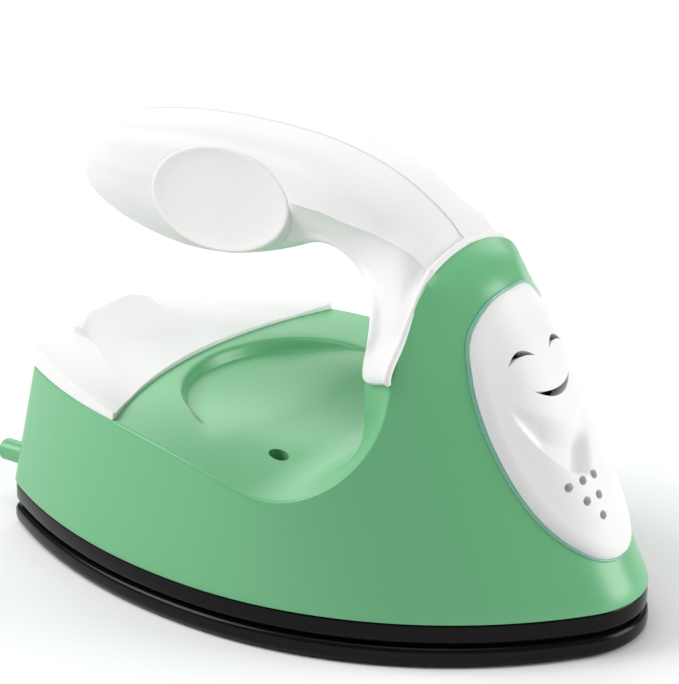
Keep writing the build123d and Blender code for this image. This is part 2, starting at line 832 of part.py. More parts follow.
def shell_screws():
    group = Part()
    for x, y in access_spots():
        group += headed_screw(x, y, post_top + shell_screw_floor, skirt_base, shell_screw_diameter / 2,
                              access_hole_diameter / 2 - fit, shell_screw_head_height)
    return group


def heating_element():
    face = fillet(Rectangle(heater_length, heater_width).vertices(), heater_corner)
    return Pos(heater_centre_x, 0, sole_thickness) * extrude(face, heater_thickness)


def mica_sheet():
    sheet = Box(heater_length - 2 * mica_margin, heater_width - 2 * mica_margin, mica_thickness)
    return Pos(heater_centre_x, 0, sole_thickness + heater_thickness + mica_thickness / 2) * sheet


def heater_clamp():
    """Bent strip that crosses the heater and is screwed to the sole at both ends."""
    inner = heater_length / 2 + clamp_gap
    outer = inner + clamp_thickness
    end = outer + clamp_foot
    step = sole_thickness + clamp_thickness
    under = clamp_top - clamp_thickness
    right = [(inner, under), (inner, sole_thickness), (end, sole_thickness), (end, step),
             (outer, step), (outer, clamp_top)]
    left = [(-x, z) for x, z in reversed(right)]
    strip = extrude(Plane.XZ * make_face(Polyline(*(right + left), close=True)), clamp_width / 2, both=True)
    strip = Pos(heater_centre_x, 0, 0) * strip
    for x, y in clamp_spots():
        strip -= cylinder(screw_diameter / 2 + fit, overrun, x, y, sole_thickness - fit)
    return strip


def heat_shield():
    reach = heater_length / 2 + spacer_clear_x + shield_overhang
    sheet = Pos(heater_centre_x, 0, shield_base + shield_thickness / 2) * Box(
        2 * reach, shield_width, shield_thickness)
    for x, y in spacer_spots():
        sheet -= cylinder(screw_diameter / 2 + fit, overrun, x, y, shield_base - fit)
    return sheet


def shield_spacers():
    group = Part()
    for x, y in spacer_spots():
        tube = cylinder(spacer_diameter / 2, shield_base - sole_thickness, x, y, sole_thickness)
        group += tube - cylinder(screw_diameter / 2 + fit, overrun, x, y, sole_thickness)
    return group


def thermostat():
    x = heater_front_x - thermostat_inset
    body = cylinder(thermostat_diameter / 2, thermostat_height, x, 0, clamp_top)
    return body + cylinder(thermostat_cap_diameter / 2, thermostat_cap_height, x, 0,
                           clamp_top + thermostat_height)


def thermal_cutoff():
    x = heater_back_x + cutoff_inset
    z = clamp_top + cutoff_diameter / 2
    return Pos(x - cutoff_length / 2, 0, z) * Rot(0, 90, 0) * extrude(
        Circle(cutoff_diameter / 2), cutoff_length)


def cutoff_clip():
    """Saddle strap over the cutoff with a foot on each side."""
    inner = cutoff_diameter / 2 + fit
    outer = inner + clip_strap
    z = clamp_top + cutoff_diameter / 2
    arch = make_face([
        Line((-inner, clamp_top), (-inner, z)),
        ThreePointArc((-inner, z), (0, z + inner), (inner, z)),
        Line((inner, z), (inner, clamp_top)),
        Line((inner, clamp_top), (outer + clip_strap_foot, clamp_top)),
        Line((outer + clip_strap_foot, clamp_top), (outer + clip_strap_foot, clamp_top + clip_strap)),
        Line((outer + clip_strap_foot, clamp_top + clip_strap), (outer, clamp_top + clip_strap)),
        Line((outer, clamp_top + clip_strap), (outer, z)),
        ThreePointArc((outer, z), (0, z + outer), (-outer, z)),
        Line((-outer, z), (-outer, clamp_top + clip_strap)),
        Line((-outer, clamp_top + clip_strap), (-outer - clip_strap_foot, clamp_top + clip_strap)),
        Line((-outer - clip_strap_foot, clamp_top + clip_strap), (-outer - clip_strap_foot, clamp_top)),
        Line((-outer - clip_strap_foot, clamp_top), (-inner, clamp_top)),
    ])
    return Pos(heater_back_x + cutoff_inset, 0, 0) * extrude(
        Plane.YZ * arch, clip_strap_width / 2, both=True)


def terminal_block():
    """Block on the heat shield, with two bores for the leads."""
    x = heater_back_x + terminal_inset
    z = shield_top + terminal_height / 2
    block = Pos(x, 0, z) * Box(terminal_length, terminal_width, terminal_height)
    for side in (-1, 1):
        block -= Pos(x - overrun / 2, side * terminal_pitch / 2, z) * Rot(0, 90, 0) * extrude(
            Circle(terminal_bore / 2), overrun)
    return block


PIECES = {
    "soleplate": soleplate,
    "sole_gasket": sole_gasket,
    "base_skirt": base_skirt,
    "body_shell": body_shell,
    "rear_cover": rear_cover,
    "cord_inlet_bush": cord_inlet_bush,
    "handle_left": lambda: handle_half(1),
    "handle_right": lambda: handle_half(-1),
    "handle_screws": handle_screws,
    "handle_collar": handle_collar,
    "grip_pad_left": lambda: grip_pad(1),
    "grip_pad_right": lambda: grip_pad(-1),
    "front_panel": front_panel,
    "panel_trim_ring": panel_trim_ring,
    "vent_baffle": vent_baffle,
    "heel_foot_left": lambda: heel_foot(1),
    "heel_foot_right": lambda: heel_foot(-1),
    "sole_screws": sole_screws,
    "shell_screws": shell_screws,
    "heating_element": heating_element,
    "mica_sheet": mica_sheet,
    "heater_clamp": heater_clamp,
    "clamp_screws": clamp_screws,
    "heat_shield": heat_shield,
    "shield_spacers": shield_spacers,
    "shield_screws": shield_screws,
    "thermostat": thermostat,
    "thermal_cutoff": thermal_cutoff,
    "cutoff_clip": cutoff_clip,
    "terminal_block": terminal_block,
}


def main():
    os.makedirs("parts", exist_ok=True)
    for node, make in PIECES.items():
        shape = make()
        export_step(shape, "parts/" + node + ".step")
        print(node, len(shape.solids()), round(shape.volume, 1))


main()
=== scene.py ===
import bpy
import bmesh
import math
from mathutils import Matrix, Vector


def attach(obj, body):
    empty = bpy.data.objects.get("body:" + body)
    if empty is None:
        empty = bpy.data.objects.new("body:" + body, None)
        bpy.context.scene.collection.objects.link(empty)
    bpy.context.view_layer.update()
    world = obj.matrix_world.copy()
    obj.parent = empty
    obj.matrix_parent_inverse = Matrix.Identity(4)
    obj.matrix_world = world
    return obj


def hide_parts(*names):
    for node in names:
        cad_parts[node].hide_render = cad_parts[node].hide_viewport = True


# Mini craft iron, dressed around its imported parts. Shapes are worked out in millimetres and
# brought to metres when a piece is finished. The nose points along +X and +Z is up. The camera
# stands on the -Y side, the iron's right, which is called near.

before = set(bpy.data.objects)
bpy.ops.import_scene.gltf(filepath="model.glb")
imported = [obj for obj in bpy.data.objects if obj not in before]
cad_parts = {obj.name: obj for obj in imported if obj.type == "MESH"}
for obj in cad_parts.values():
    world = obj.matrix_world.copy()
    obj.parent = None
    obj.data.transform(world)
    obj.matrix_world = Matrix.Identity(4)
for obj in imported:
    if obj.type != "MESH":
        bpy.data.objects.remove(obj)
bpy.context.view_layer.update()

MM = 0.001
SIDES = {"right": -1, "left": 1}

# Points of one sheet that lie closer than this become one
weld_distance = 0.004

# Plan outline
length = 105.0
half_length = length / 2
half_width = 35.1
nose_radius = 14.0
front_side_radius = 66.0
rear_side_radius = 89.7
heel_corner_radius = 2.5
nose_centre_x = half_length - nose_radius
wide_x = nose_centre_x - math.sqrt((front_side_radius - nose_radius) ** 2
                                   - (front_side_radius - half_width) ** 2)

# Angle at which the nose's round meets the front sides
nose_meet = math.atan2(front_side_radius - half_width, nose_centre_x - wide_x)

# Housing
skirt_top = 7.3
dome_height = 50.7
draught = math.tan(math.radians(9.5))
front_slope = math.radians(62.6)
front_run = 1 / math.tan(front_slope)
tray_height = 27.8
tray_low = 23.3
tray_flat_end_x = -27.0
tray_back_x = -52.0
column_x = 15.5
column_sweep = 11.0
lip_x = 21.5
lip_sweep = 15.0
column_top = 44.0
crease_start_y = 13.0
crease_end_y = 18.3
lip_round = 0.45
arch_x = 21.5

# Top of the dome: narrower and set back above these shares of its height
dome_narrowing = 0.10
narrowing_start = 0.684
narrowing_span = 0.301
dome_setback = 0.05 * length
setback_start = 0.86
setback_span = 0.14
setback_power = 3.2

# Well in the tray: deepest towards the heel, running out before the column
well_x = -7.4
well_radius = 21.2
well_front_reach = 17.0
well_deepest = 2.05
well_dish = 1.5
well_fade_x = -23.0
well_fade_run = 16.0

# Panel on the nose
panel_top_x = 29.2
panel_top_z = skirt_top + (half_length - panel_top_x) / front_run
panel_length = 43.4
panel_half_width = 12.2


# Shader building

class Wire:
    """A socket in a material; sums and products of wires add Math nodes."""

    def __init__(self, paint, socket):
        self.paint = paint
        self.socket = socket

    def join(self, kind, first, second):
        return self.paint.node("ShaderNodeMath", {"operation": kind}, {0: first, 1: second})

    def __add__(self, other):
        return self.join("ADD", self, other)

    def __sub__(self, other):
        return self.join("SUBTRACT", self, other)

    def __rsub__(self, other):
        return self.join("SUBTRACT", other, self)

    def __mul__(self, other):
        return self.join("MULTIPLY", self, other)

    __radd__ = __add__
    __rmul__ = __mul__


class Paint:
    """One material: its shader's constants, and a method that adds any other node."""

    def __init__(self, name, **constants):
        self.material = bpy.data.materials.new(name)
        self.material.use_nodes = True
        self.tree = self.material.node_tree
        self.shader = self.tree.nodes["Principled BSDF"]
        for socket, value in constants.items():
            self.shader.inputs[socket.replace("_", " ")].default_value = value

    def node(self, kind, settings=None, inputs=None, output=0):
        """Add a node with its settings, then the values or links of its sockets."""
        made = self.tree.nodes.new(kind)
        for key, value in (settings or {}).items():
            setattr(made, key, value)
        for key, value in (inputs or {}).items():
            if isinstance(value, Wire):
                self.tree.links.new(value.socket, made.inputs[key])
            else:
                made.inputs[key].default_value = value
        return Wire(self, made.outputs[output])

    def feed(self, socket, wire):
        self.tree.links.new(wire.socket, self.shader.inputs[socket])

    def place(self):
        return self.node("ShaderNodeTexCoord", output="Object")

    def noise(self, size_mm, detail=2.0):
        return self.node("ShaderNodeTexNoise", {}, {"Vector": self.place(), "Scale": 1 / (size_mm * MM),
                                                    "Detail": detail})

    def mix(self, share, first, second):
        """Mix of two colours, which this node has as its sockets 6 and 7 and gives as output 2."""
        return self.node("ShaderNodeMix", {"data_type": "RGBA"}, {0: share, 6: first, 7: second}, output=2)

    def bump(self, height, depth_mm):
        self.feed("Normal", self.node("ShaderNodeBump", {}, {"Height": height, "Strength": 1.0,
                                                             "Distance": depth_mm * MM}))


def shade(colour, factor):
    """A colour made lighter or darker, with its alpha."""
    return tuple(min(1.0, part * factor) for part in colour) + (1.0,)


def moulded(name, colour, rough, cloud_size=14.0, cloud=0.02, grain_size=0.5, grain_depth=0.004,
            spread=0.05, **constants):
    """Moulded plastic: faint flow clouds in its colour, fine texture in its gloss and surface."""
    paint = Paint(name, **constants)
    clouds = paint.noise(cloud_size)
    grain = paint.noise(grain_size, 3.0)
    paint.feed("Base Color", paint.mix(clouds, shade(colour, 1 - cloud), shade(colour, 1 + cloud)))
    paint.feed("Roughness", rough + (clouds - 0.5) * spread + (grain - 0.5) * spread)
    paint.bump(grain, grain_depth)
    return paint.material


# Mesh building

def skin(place, around, along):
    """Sheet whose points come from a formula of two shares; its seam and poles are welded."""
    mesh = bmesh.new()
    bmesh.ops.create_grid(mesh, x_segments=around, y_segments=along, size=1.0)
    for point in mesh.verts:
        point.co = place((point.co.x + 1) / 2, (point.co.y + 1) / 2)
    bmesh.ops.remove_doubles(mesh, verts=mesh.verts, dist=weld_distance)
    return mesh


def outward(mesh):
    """Turn every face outwards; a shell that comes out inside out is turned round as a whole."""
    bmesh.ops.recalc_face_normals(mesh, faces=mesh.faces)
    if mesh.calc_volume(signed=True) < 0:
        bmesh.ops.reverse_faces(mesh, faces=mesh.faces)
    return mesh


def finish_piece(name, mesh, material, slot, *nodes):
    """Make a piece of a mesh in millimetres, riding on the iron's one body in place of its nodes."""
    bmesh.ops.scale(mesh, vec=(MM, MM, MM), verts=mesh.verts)
    for face in mesh.faces:
        face.smooth = True
    data = bpy.data.meshes.new(name)
    mesh.to_mesh(data)
    mesh.free()
    data.materials.append(material)
    piece = bpy.data.objects.new(name, data)
    bpy.context.scene.collection.objects.link(piece)
    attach(piece, "root")
    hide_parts(*nodes)
    return piece


def soften(piece, width, segments=3, angle=35):
    """Round the edges past the angle with a bevel that stays live."""
    bevel = piece.modifiers.new("round", "BEVEL")
    bevel.width = width * MM
    bevel.segments = segments
    bevel.limit_method = "ANGLE"
    bevel.angle_limit = math.radians(angle)


def bake(piece):
    """Write what the modifiers make into the piece's own mesh."""
    graph = bpy.context.evaluated_depsgraph_get()
    made = bpy.data.meshes.new_from_object(piece.evaluated_get(graph))
    piece.modifiers.clear()
    piece.data = made


def carve(piece, *cutters):
    """Cut the given meshes, which are in millimetres, out of a finished piece."""
    tools = []
    for mesh in cutters:
        outward(mesh)
        bmesh.ops.scale(mesh, vec=(MM, MM, MM), verts=mesh.verts)
        data = bpy.data.meshes.new("cutter")
        mesh.to_mesh(data)
        mesh.free()
        tool = bpy.data.objects.new("cutter", data)
        bpy.context.scene.collection.objects.link(tool)
        tools.append(tool)
        cut = piece.modifiers.new("cut", "BOOLEAN")
        cut.operation = "DIFFERENCE"
        cut.solver = "EXACT"
        cut.object = tool
    bake(piece)
    for tool in tools:
        bpy.data.objects.remove(tool)


def sharpen(piece, angle=38):
    """Shade a piece smooth, apart from its edges past the angle, which stay crisp."""
    mesh = bmesh.new()
    mesh.from_mesh(piece.data)
    for edge in mesh.edges:
        edge.smooth = len(edge.link_faces) == 2 and edge.calc_face_angle(0) < math.radians(angle)
    for face in mesh.faces:
        face.smooth = True
    mesh.to_mesh(piece.data)
    mesh.free()


def lerp(low, high, share):
    return low + (high - low) * share


def ease(share):
    """Smooth step from 0 to 1."""
    share = max(0.0, min(1.0, share))
    return share * share * (3 - 2 * share)


def between(first, second, share):
    """Place on the straight line between two flat places."""
    return tuple(lerp(low, high, share) for low, high in zip(first, second))


def through(points, share):
    """Smooth curve through evenly shared points, as tuples of numbers."""
    spans = len(points) - 1
    spot = min(share * spans, spans - 1e-9)
    index = int(spot)
    part = spot - index
    before = points[max(index - 1, 0)]
    start = points[index]
    end = points[index + 1]
    after = points[min(index + 2, spans)]
    return tuple(b + 0.5 * part * (c - a + part * (2 * a - 5 * b + 4 * c - d
                                                   + part * (3 * (b - c) + d - a)))
                 for a, b, c, d in zip(before, start, end, after))


# Plan outline and the draughted wall

def arc_point(centre_x, centre_y, radius, angle):
    return centre_x + radius * math.cos(angle), centre_y + radius * math.sin(angle)


def plan_parts(inset):
    """The half outline from the heel's middle to the nose, as straight and round stretches."""
    heel_x = inset - half_length
    rear_r = rear_side_radius - inset
    rear_cy = half_width - rear_side_radius
    round_x = heel_x + heel_corner_radius
    round_y = rear_cy + math.sqrt((rear_r - heel_corner_radius) ** 2 - (round_x - wide_x) ** 2)
    rear_angle = math.atan2(round_y - rear_cy, round_x - wide_x)
    front_cy = half_width - front_side_radius
    return [
        ("line", heel_x, 0.0, heel_x, round_y),
        ("arc", round_x, round_y, heel_corner_radius, math.pi, rear_angle),
        ("arc", wide_x, rear_cy, rear_r, rear_angle, math.pi / 2),
        ("arc", wide_x, front_cy, front_side_radius - inset, math.pi / 2, nose_meet),
        ("arc", nose_centre_x, 0.0, nose_radius - inset, nose_meet, 0.0),
    ]


def part_length(part):
    if part[0] == "line":
        return math.dist(part[1:3], part[3:5])
    return abs(part[4] - part[5]) * part[3]


PLAN_LENGTHS = [part_length(part) for part in plan_parts(0.0)]
PLAN_REACH = sum(PLAN_LENGTHS)
REAR_SHARE = sum(PLAN_LENGTHS[:3]) / PLAN_REACH


def plan_point(share, inset=0.0):
    """Point of the whole outline; the share runs from the heel by the near side to the nose and back."""
    side = -1 if share <= 0.5 else 1
    along = (share if share <= 0.5 else 1 - share) * 2 * PLAN_REACH
    parts = plan_parts(inset)
    for part, reach in zip(parts, PLAN_LENGTHS):
        if along <= reach or part is parts[-1]:
            part_share = min(along / reach, 1.0)
            if part[0] == "line":
                x = lerp(part[1], part[3], part_share)
                y = lerp(part[2], part[4], part_share)
            else:
                x, y = arc_point(part[1], part[2], part[3], lerp(part[4], part[5], part_share))
            return x, side * y
        along -= reach


def front_scale(z):
    """How far the front of the plan has shrunk at a height, along and across."""
    share = (z - skirt_top) / dome_height
    narrow = 1 - dome_narrowing * ease((share - narrowing_start) / narrowing_span)
    setback = dome_setback * max(0.0, (share - setback_start) / setback_span) ** setback_power
    reach = half_length - front_run * (z - skirt_top) - setback - wide_x
    side = (half_width - draught * (z - skirt_top)) * narrow
    return reach / (half_length - wide_x), side / half_width


def wall_point(share, z):
    """Point of the housing's outer wall above a place of the plan."""
    if min(share, 1 - share) * 2 <= REAR_SHARE:
        return plan_point(share, draught * (z - skirt_top))
    x, y = plan_point(share)
    along, across = front_scale(z)
    return wide_x + (x - wide_x) * along, y * across


def plan_half_width(x):
    """Half width of the plan in front of its widest place."""
    if x > nose_centre_x + nose_radius * math.cos(nose_meet):
        return math.sqrt(max(0.0, nose_radius ** 2 - (x - nose_centre_x) ** 2))
    return half_width - front_side_radius + math.sqrt(front_side_radius ** 2 - (x - wide_x) ** 2)


def wall_half_width(x, z):
    """Half width of the housing at a height."""
    if x > wide_x:
        along, across = front_scale(z)
        return plan_half_width(wide_x + (x - wide_x) / along) * across
    inset = draught * (z - skirt_top)
    reach = rear_side_radius - inset
    return half_width - rear_side_radius + math.sqrt(reach ** 2 - (x - wide_x) ** 2)


# Tray line in side view: flat, long fall, sweep and riser, each one unit of a spot on the line

TRAY_END = 4.0


def tray_line(front_x, sweep):
    """Centre and radius of the sweep, and radius and angle of the fall, for a riser at front_x."""
    centre_x = front_x - sweep
    centre_z = tray_low + sweep
    run = centre_x - tray_flat_end_x
    over = centre_z - tray_height
    fall_r = (run ** 2 + over ** 2 - sweep ** 2) / (2 * (sweep - over))
    fall_angle = math.asin(run * fall_r / (fall_r + sweep) / fall_r)
    return centre_x, centre_z, sweep, fall_r, fall_angle


COLUMN_LINE = tray_line(column_x, column_sweep)
LIP_LINE = tray_line(lip_x, lip_sweep)


def on_tray_line(line, spot):
    """The x and z of a spot on a tray line."""
    centre_x, centre_z, sweep, fall_r, fall_angle = line
    if spot <= 1:
        return lerp(tray_back_x, tray_flat_end_x, spot), tray_height
    if spot <= 2:
        angle = fall_angle * (spot - 1)
        return tray_flat_end_x + fall_r * math.sin(angle), tray_height - fall_r * (1 - math.cos(angle))
    if spot <= 3:
        angle = lerp(-fall_angle, math.pi / 2, spot - 2)
        return centre_x + sweep * math.sin(angle), centre_z - sweep * math.cos(angle)
    return centre_x + sweep, lerp(centre_z, column_top, spot - 3)


def span_lengths(line):
    centre_x, centre_z, sweep, fall_r, fall_angle = line
    return (tray_flat_end_x - tray_back_x, fall_r * fall_angle, sweep * (math.pi / 2 + fall_angle),
            column_top - centre_z)


TRAY_SPANS = span_lengths(COLUMN_LINE)


def unrolled(spot):
    """Distance along the tray line from its back end."""
    index = min(int(spot), 3)
    return sum(TRAY_SPANS[:index]) + TRAY_SPANS[index] * (spot - index)


def rolled(distance):
    """Spot on the tray line at a distance from its back end."""
    for index, reach in enumerate(TRAY_SPANS):
        if distance <= reach or index == 3:
            return index + distance / reach
        distance -= reach


def crease_y(spot):
    """Half width of the middle part of the tray, which the column's crease bounds."""
    x = on_tray_line(COLUMN_LINE, min(spot, 3.0))[0]
    share = (x - (column_x - column_sweep)) / column_sweep
    return crease_start_y + (crease_end_y - crease_start_y) * max(0.0, share)


def lip_y(spot):
    x, z = on_tray_line(LIP_LINE, spot)
    return wall_half_width(x, z)


# How fast the strip outside the crease goes from hollow to straight up the sweep
strip_straighten = 1.6


def tray_point(distance, y):
    """Point of the tray's upper face from its unrolled place."""
    spot = rolled(distance)
    inner = Vector(on_tray_line(COLUMN_LINE, spot))
    crease = crease_y(spot)
    if abs(y) <= crease:
        return Vector((inner.x, y, inner.y))
    outer = Vector(on_tray_line(LIP_LINE, spot))
    share = (abs(y) - crease) / (lip_y(spot) - crease)
    share = lerp(share * share, share, max(0.0, min(1.0, (spot - 2) * strip_straighten)))
    place = inner.lerp(outer, share)
    return Vector((place.x, y, place.y))


def crossing(test, low, high):
    """Place between two limits where a falling test passes zero."""
    for _ in range(40):
        middle = (low + high) / 2
        if test(middle) > 0:
            low = middle
        else:
            high = middle
    return low


# Housing: spokes from the well's middle over the tray to the lip and down the wall

# Points of a spoke, as shares of each stretch; on the well's wall, how far a point lies outside
# the rim and its share of the height
WELL_FLOOR = (0.0, 0.15, 0.3, 0.45, 0.6, 0.75, 0.88)
WELL_WALL = ((-1.8, 0.0), (-1.6, 0.05), (-1.45, 0.16), (-1.2, 0.42), (-0.95, 0.68), (-0.7, 0.86),
             (-0.4, 0.96), (0.0, 1.0))
TRAY_STEPS = (0.2, 0.4, 0.6, 0.8, 0.93)
CREASE_STEPS = (0.07, 0.4, 0.75)
LIP_ROUND_STEPS = (0.25, 0.5, 0.75)
WALL_STEPS = 26

# Near rim of the well that runs out softly over the tray, in degrees round the well's middle
soft_rim_start = -122.0
soft_rim_in = 36.0
soft_rim_end = -10.0
soft_rim_out = 25.0
soft_rim_spread = 0.6

# Inner end of the lip's strip: this share of the way to the lip, moved to the crease over this
# much of the sweep, and under the hood up to this far below the riser's end
plain_share = 0.8
crease_blend = 0.45
arch_crease_run = 3.0

# Two points under the hood: how far each lies behind the arch, how wide it is as a share of the
# arch, and how far it lies below it, the first as a share of the way to the column's top
arch_back_x = 1.2
arch_back_width = 0.9
arch_back_fall = 0.12
arch_rim_x = 0.5
arch_rim_width = 0.98
arch_rim_fall = 0.2

# Foot of the wall: height of its last full ring over the skirt, and how much smaller the bottom is
wall_foot = 0.3
wall_foot_inset = 0.003


def well_depth(x):
    return well_deepest * (1 - ease((x - well_fade_x) / well_fade_run))


def wall_top(share):
    """What the wall meets above a place of the plan: the lip of the tray, or the arch under the hood."""
    spot = crossing(lambda s: wall_point(share, on_tray_line(LIP_LINE, s)[1])[0]
                    - on_tray_line(LIP_LINE, s)[0], 0.0, TRAY_END)
    if spot < TRAY_END - 0.0001:
        x, z = on_tray_line(LIP_LINE, spot)
        y = wall_point(share, z)[1]
        return {"arch": False, "spot": spot, "top": Vector((x, y, z))}
    z = crossing(lambda h: wall_point(share, h)[0] - arch_x, column_top - 1, skirt_top + dome_height)
    y = wall_point(share, z)[1]
    return {"arch": True, "spot": TRAY_END, "top": Vector((arch_x, y, z))}


def arch_limit():
    """Share of the plan at which the near lip ends and the arch begins."""
    low = 0.25
    high = 0.5
    for _ in range(30):
        middle = (low + high) / 2
        if wall_top(middle)["arch"]:
            high = middle
        else:
            low = middle
    return high


ARCH_START = arch_limit()


def housing_ring(share, edge):
    """All the points of one spoke of the housing, from the well's middle to the bottom of the wall."""
    centre = unrolled(crossing(lambda s: well_x - on_tray_line(COLUMN_LINE, s)[0], 1.0, 2.0))
    top = edge["top"]
    if edge["arch"]:
        turn = (share - 0.5) / (0.5 - ARCH_START)
        goal = (unrolled(TRAY_END), turn * lip_y(TRAY_END))
    else:
        goal = (unrolled(edge["spot"]), top.y)
    away = Vector((goal[0] - centre, goal[1]))
    reach = well_front_reach if away.x > 0 else well_radius
    angle = math.atan2(away.y / well_radius, away.x / reach)

    def rim(grow):
        return (centre + (reach + grow) * math.cos(angle), (well_radius + grow) * math.sin(angle))

    degrees = math.degrees(angle)
    soft = ease((degrees - soft_rim_start) / soft_rim_in) * ease((soft_rim_end - degrees) / soft_rim_out)
    foot = rim(WELL_WALL[0][0])
    points = []
    for part in WELL_FLOOR:
        place = tray_point(lerp(centre, foot[0], part), foot[1] * part)
        place.z -= well_depth(place.x) + well_dish * (1 - part * part) ** 2
        points.append(place)
    for index, (grow, rise) in enumerate(WELL_WALL):
        spread = index / (len(WELL_WALL) - 1)
        start = between(rim(grow), between(foot, goal, soft_rim_spread * spread), soft)
        place = tray_point(*start)
        place.z -= well_depth(place.x) * (1 - lerp(rise, ease(spread), soft))
        points.append(place)
    if edge["arch"]:
        inner = (unrolled(TRAY_END) - arch_crease_run * (1 - turn ** 4), turn * crease_end_y)
    else:
        crease = (goal[0], math.copysign(crease_y(edge["spot"]), top.y))
        blend = ease((edge["spot"] - 2.0) / crease_blend)
        inner = between(between(start, goal, plain_share), crease, blend)
    for part in TRAY_STEPS:
        points.append(tray_point(*between(start, inner, part)))
    points.append(tray_point(*inner))
    for part in CREASE_STEPS:
        points.append(tray_point(*between(inner, goal, part)))
    near_lip = 1 - min(0.2, lip_round / max(math.dist(inner, goal), 1e-6))
    before = tray_point(*between(inner, goal, near_lip))
    points.append(before)
    low_z = top.z - lip_round
    below = Vector((*wall_point(share, low_z), low_z))
    if edge["arch"]:
        back_z = lerp(top.z, column_top, arch_back_fall)
        back = Vector((top.x - arch_back_x, top.y * arch_back_width, back_z))
        rear_rim = Vector((top.x - arch_rim_x, top.y * arch_rim_width, top.z - arch_rim_fall))
        points += [lerp(before, back, 0.5), back, rear_rim]
    else:
        for part in LIP_ROUND_STEPS:
            points.append(lerp(lerp(before, top, part), lerp(top, below, part), part))
    for step in range(WALL_STEPS):
        z = lerp(low_z, skirt_top + wall_foot, step / (WALL_STEPS - 1))
        points.append(Vector((*wall_point(share, z), z)))
    x, y = wall_point(share, skirt_top)
    points.append(Vector((x, y, skirt_top)) * (1 - wall_foot_inset)
                  + Vector((0, 0, skirt_top * wall_foot_inset)))
    points.append(Vector((0, 0, skirt_top)))
    return points


def disc_tool(radius, low, high, x, y, segments=48):
    """Round upright cutter."""
    mesh = bmesh.new()
    bmesh.ops.create_cone(mesh, cap_ends=True, segments=segments, radius1=radius, radius2=radius,
                          depth=high - low, matrix=Matrix.Translation((x, y, (low + high) / 2)))
    return mesh


# Access holes to the shell screws, as radius, lowest and highest point of each of their steps
ACCESS_STEPS = ((1.55, 20.0, 30.0), (3.2, 15.0, 22.6))
access_x = -0.3
access_y = 18.4
window_inset = 1.4
window_reach = 9.0


def make_housing(material):
    """Green housing with the window under the panel and the two blind access holes."""
    around = 300
    beside_arch = 0.00001
    spokes = {}
    ring_count = len(housing_ring(0.0, wall_top(0.0)))

    def place(share, ring_share):
        step = round(share * around) % around
        if step not in spokes:
            half = min(step, around - step) / around
            if abs(half - ARCH_START) < 0.5 / around:
                half = ARCH_START - beside_arch
            at = half if step * 2 <= around else 1 - half
            spokes[step] = housing_ring(at, wall_top(at))
        return spokes[step][round(ring_share * (ring_count - 1))]

    mesh = skin(place, around, ring_count - 1)
    piece = finish_piece("housing", outward(mesh), material, "green_gloss", "body_shell")
    tools = [panel_cutter(lambda share: panel_rim(share, -window_inset), 96, window_reach)]
    for side in SIDES.values():
        for radius, low, high in ACCESS_STEPS:
            tools.append(disc_tool(radius, low, high, access_x, side * access_y))
    carve(piece, *tools)
    sharpen(piece)


# Panel: a place on it is its drop down the slope from the panel's top and its y across

panel_down = Vector((math.cos(front_slope), 0, -math.sin(front_slope)))
panel_out = Vector((math.sin(front_slope), 0, math.cos(front_slope)))
panel_origin = Vector((panel_top_x, 0, panel_top_z))

# Half of its outline, as shares of its length down and of its half width across, with the
# first and last points' neighbours on the other half, so that it runs smoothly over
PANEL_CURVE = ((0.015, -0.42), (0.0, 0.0), (0.015, 0.42), (0.10, 0.80), (0.236, 0.95), (0.377, 1.0),
               (0.52, 0.985), (0.66, 0.92), (0.793, 0.79), (0.906, 0.58), (0.978, 0.32), (1.0, 0.0),
               (0.978, -0.32))


def panel_rim(share, grow=0.0):
    """Drop and side of a point of the panel's outline, grown all round."""
    half = 2 * (share if share <= 0.5 else 1 - share)
    spans = len(PANEL_CURVE) - 1
    down, across = through(PANEL_CURVE, lerp(1 / spans, (spans - 1) / spans, half))
    side = -1 if share <= 0.5 else 1
    return down * (panel_length + 2 * grow) - grow, side * max(0.0, across) * (panel_half_width + grow)


def front_reach(y):
    """How far forward the plan reaches at a place across."""
    if abs(y) <= nose_radius * math.sin(nose_meet):
        return nose_centre_x + math.sqrt(nose_radius ** 2 - y ** 2)
    return wide_x + math.sqrt(front_side_radius ** 2 - (abs(y) - half_width + front_side_radius) ** 2)


def dome_lift(drop, y):
    """Height of the dome over the panel's plane, closed in on step by step."""
    lift = 0.0
    for _ in range(24):
        spot = panel_origin + panel_down * drop + panel_out * lift
        along, across = front_scale(spot.z)
        edge = wide_x + along * (front_reach(y / across) - wide_x)
        lift += 0.8 * ((edge - spot.x) / panel_out.x)
    return lift


def panel_place(drop, y, lift):
    return panel_origin + panel_down * drop + panel_out * lift + Vector((0, y, 0))


def panel_cutter(outline, around, reach=8.0):
    """Block through the panel whose outline comes from a formula of one share."""
    mesh = skin(lambda share, end: panel_place(*outline(share), lerp(-reach, reach, end)), around, 1)
    bmesh.ops.holes_fill(mesh, edges=mesh.edges)
    return mesh


# Rings of the panel's back and rim, as share of the outline and height over the dome; the face
# then rises to its full height, and less near the top
BACK_STEPS = ((0.0, -0.9), (0.3, -0.9), (0.6, -0.9), (0.9, -0.9))
RIM_STEPS = ((1.0, -0.9), (1.0, 0.3), (0.993, 0.75), (0.978, 1.05), (0.955, 1.25), (0.92, 1.4))
face_steps = 62
face_middle = 0.47 * panel_length
face_proud = 1.8
face_rise = 2.5
top_proud_share = 0.4
top_proud_drop = 14.0

# Scoop: a crescent between an upper and a lower edge, which runs out towards the far side
scoop_drop = 10.5
scoop_half = 9.6
scoop_depth = 1.65
scoop_top_end = 4.2
scoop_top_sag = 5.8
scoop_bottom_end = 4.6
scoop_bottom_sag = 14.6
scoop_lip = 0.6
scoop_lip_run = 0.8
scoop_out_slant = 0.6
scoop_out_start = 7.4
scoop_out_run = 4.0

